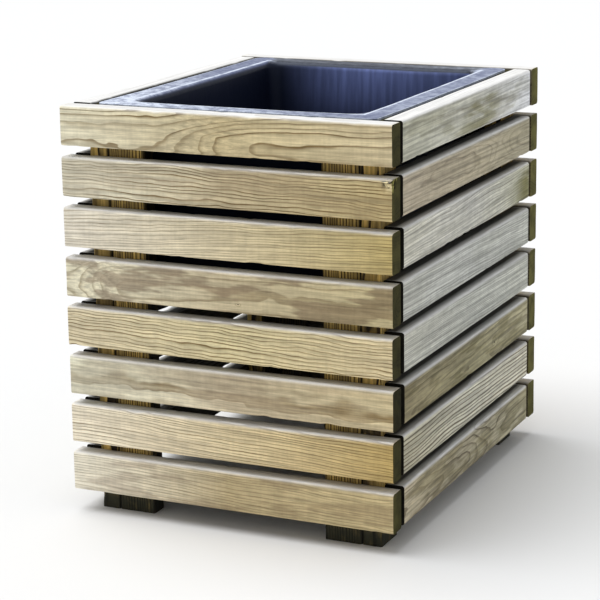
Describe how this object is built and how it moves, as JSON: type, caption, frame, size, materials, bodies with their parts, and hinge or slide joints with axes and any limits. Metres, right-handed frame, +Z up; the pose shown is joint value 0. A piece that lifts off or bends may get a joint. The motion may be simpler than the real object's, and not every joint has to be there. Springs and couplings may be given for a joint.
{
  "type": "planter box",
  "caption": "Free-standing slatted timber planter box with open gaps between its boards, short batten feet and a lift-out plastic liner hung by its rim.",
  "frame": {"origin": "on the ground, under the middle of the box", "axes": "+Z up, -Y towards the front face with the full-width boards, +X towards the right-hand side panel"},
  "size_m": [0.395, 0.475, 0.47],
  "materials": {
    "front_boards": "planed pressure-treated pine, yellow-green, with brown growth lines, unvarnished",
    "side_boards": "planed pressure-treated pine, weathered grey-green, unvarnished",
    "battens": "planed pressure-treated pine, brown, darker at the feet",
    "screws": "zinc-plated, dull",
    "liner": "moulded dark navy-black plastic, satin"
  },
  "bodies": {
    "box": {"front_board_1": "front_boards", "front_board_2": "front_boards", "front_board_3": "front_boards", "front_board_4": "front_boards", "front_board_5": "front_boards", "front_board_6": "front_boards", "front_board_7": "front_boards", "front_board_8": "front_boards", "right_board_1": "side_boards", "right_board_2": "side_boards", "right_board_3": "side_boards", "right_board_4": "side_boards", "right_board_5": "side_boards", "right_board_6": "side_boards", "right_board_7": "side_boards", "right_board_8": "side_boards", "back_board_1": "front_boards", "back_board_2": "front_boards", "back_board_3": "front_boards", "back_board_4": "front_boards", "back_board_5": "front_boards", "back_board_6": "front_boards", "back_board_7": "front_boards", "back_board_8": "front_boards", "left_board_1": "side_boards", "left_board_2": "side_boards", "left_board_3": "side_boards", "left_board_4": "side_boards", "left_board_5": "side_boards", "left_board_6": "side_boards", "left_board_7": "side_boards", "left_board_8": "side_boards", "front_batten_left": "battens", "front_batten_right": "battens", "back_batten_left": "battens", "back_batten_right": "battens", "left_batten_front": "battens", "left_batten_back": "battens", "right_batten_front": "battens", "right_batten_back": "battens", "front_board_screws": "screws", "right_board_screws": "screws", "back_board_screws": "screws", "left_board_screws": "screws", "corner_screws": "screws"},
    "liner": {"liner": "liner"}
  },
  "joints": [
    {"name": "liner_lift", "type": "slide", "parent": "box", "child": "liner", "axis": [0, 0, 1], "range_m": [0, 0.28]}
  ]
}
